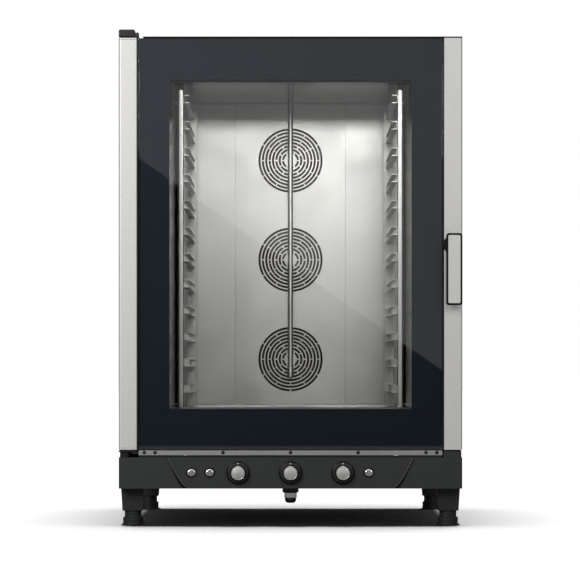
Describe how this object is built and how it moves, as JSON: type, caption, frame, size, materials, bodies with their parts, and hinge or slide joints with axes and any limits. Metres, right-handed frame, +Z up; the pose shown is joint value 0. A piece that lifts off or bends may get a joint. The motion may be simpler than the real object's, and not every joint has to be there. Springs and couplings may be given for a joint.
{
  "type": "combi steamer oven",
  "caption": "Upright combi steamer oven on four legs with a left-hung glass door, turning handle, tray racks, fans behind a baffle, and knobs and buttons on a fascia under the door.",
  "frame": {"origin": "middle of the bounding box, on the floor under the feet", "axes": "+Z up, +X to the right seen from the front, +Y to the back; the door is at -Y"},
  "size_m": [0.86, 0.882, 1.2522],
  "materials": {
    "stainless": "satin",
    "cavity_steel": "satin",
    "fan_steel": "satin",
    "galvanised": "satin",
    "door_profile": "satin",
    "chrome": "polished",
    "button_silver": "gloss",
    "outer_glass": "gloss",
    "inner_glass": "gloss",
    "fascia_plastic": "satin",
    "black_plastic": "satin",
    "leg_plastic": "matte",
    "handle_grey": "satin",
    "hinge_black": "satin",
    "gasket_rubber": "matte",
    "insulation_wool": "matte",
    "heater_steel": "satin",
    "motor_grey": "matte",
    "board_green": "matte",
    "service_steel": "satin"
  },
  "bodies": {
    "cabinet": {"base_tray": "galvanised", "side_panel_left": "stainless", "side_panel_right": "stainless", "top_panel": "stainless", "rear_panel": "stainless", "front_frame": "stainless", "cavity_liner": "cavity_steel", "insulation_jacket": "insulation_wool", "cavity_gasket": "gasket_rubber", "baffle_center": "cavity_steel", "baffle_left": "cavity_steel", "baffle_right": "cavity_steel", "rack_left": "cavity_steel", "rack_right": "cavity_steel", "steam_pipe": "chrome", "heater_lower": "heater_steel", "heater_middle": "heater_steel", "heater_upper": "heater_steel", "fan_motor_lower": "motor_grey", "fan_motor_middle": "motor_grey", "fan_motor_upper": "motor_grey", "hinge_bracket_top": "hinge_black", "hinge_bracket_bottom": "hinge_black", "door_keeper": "galvanised", "control_fascia": "fascia_plastic", "control_board": "board_green", "drip_tray": "stainless", "leg_front_left": "leg_plastic", "leg_front_right": "leg_plastic", "leg_rear_left": "leg_plastic", "leg_rear_right": "leg_plastic", "drain_spigot": "chrome", "vent_chimney": "service_steel", "drain_pipe": "service_steel", "cable_gland": "black_plastic", "water_inlet": "service_steel"},
    "door": {"door_profile_left": "door_profile", "door_profile_right": "door_profile", "hinge_bush_bottom": "door_profile", "hinge_bush_top": "door_profile", "door_rail_bottom": "galvanised", "door_rail_top": "galvanised", "door_glass_outer": "outer_glass", "door_glass_inner": "inner_glass"},
    "handle": {"handle_body": "black_plastic", "handle_insert": "handle_grey", "latch_cam": "galvanised"},
    "knob_temperature": {"knob_temperature": "black_plastic"},
    "knob_timer": {"knob_timer": "black_plastic"},
    "knob_humidity": {"knob_humidity": "black_plastic"},
    "button_start": {"button_start": "button_silver"},
    "button_light": {"button_light": "button_silver"},
    "button_pump": {"button_pump": "button_silver"},
    "fan_lower": {"fan_lower": "fan_steel"},
    "fan_middle": {"fan_middle": "fan_steel"},
    "fan_upper": {"fan_upper": "fan_steel"},
    "foot_front_left": {"foot_front_left": "leg_plastic"},
    "foot_front_right": {"foot_front_right": "leg_plastic"},
    "foot_rear_left": {"foot_rear_left": "leg_plastic"},
    "foot_rear_right": {"foot_rear_right": "leg_plastic"}
  },
  "joints": [
    {"name": "door_hinge", "type": "hinge", "parent": "cabinet", "child": "door", "pos_m": [-0.416, -0.361, 0.7], "axis": [0, 0, -1], "range_deg": [0, 180]},
    {"name": "handle_turn", "type": "hinge", "parent": "door", "child": "handle", "pos_m": [0.405, -0.399, 0.7055], "axis": [0, 1, 0], "range_deg": [-90, 90]},
    {"name": "knob_temperature_turn", "type": "hinge", "parent": "cabinet", "child": "knob_temperature", "pos_m": [-0.131, -0.399, 0.136], "axis": [0, 1, 0], "range_deg": [0, 300]},
    {"name": "knob_timer_turn", "type": "hinge", "parent": "cabinet", "child": "knob_timer", "pos_m": [0, -0.399, 0.136], "axis": [0, 1, 0], "range_deg": [0, 300]},
    {"name": "knob_humidity_turn", "type": "hinge", "parent": "cabinet", "child": "knob_humidity", "pos_m": [0.131, -0.399, 0.136], "axis": [0, 1, 0], "range_deg": [0, 270]},
    {"name": "button_start_push", "type": "slide", "parent": "cabinet", "child": "button_start", "axis": [0, 1, 0], "range_m": [0, 0.0025], "stiffness_N_per_m": 800},
    {"name": "button_light_push", "type": "slide", "parent": "cabinet", "child": "button_light", "axis": [0, 1, 0], "range_m": [0, 0.0025], "stiffness_N_per_m": 800},
    {"name": "button_pump_push", "type": "slide", "parent": "cabinet", "child": "button_pump", "axis": [0, 1, 0], "range_m": [0, 0.0025], "stiffness_N_per_m": 800},
    {"name": "fan_lower_spin", "type": "hinge", "parent": "cabinet", "child": "fan_lower", "pos_m": [0, 0.221, 0.4225], "axis": [0, 1, 0], "continuous": true},
    {"name": "fan_middle_spin", "type": "hinge", "parent": "cabinet", "child": "fan_middle", "pos_m": [0, 0.221, 0.694], "axis": [0, 1, 0], "continuous": true},
    {"name": "fan_upper_spin", "type": "hinge", "parent": "cabinet", "child": "fan_upper", "pos_m": [0, 0.221, 0.9655], "axis": [0, 1, 0], "continuous": true},
    {"name": "foot_front_left_screw", "type": "slide", "parent": "cabinet", "child": "foot_front_left", "axis": [0, 0, -1], "range_m": [0, 0.02]},
    {"name": "foot_front_right_screw", "type": "slide", "parent": "cabinet", "child": "foot_front_right", "axis": [0, 0, -1], "range_m": [0, 0.02]},
    {"name": "foot_rear_left_screw", "type": "slide", "parent": "cabinet", "child": "foot_rear_left", "axis": [0, 0, -1], "range_m": [0, 0.02]},
    {"name": "foot_rear_right_screw", "type": "slide", "parent": "cabinet", "child": "foot_rear_right", "axis": [0, 0, -1], "range_m": [0, 0.02]}
  ]
}
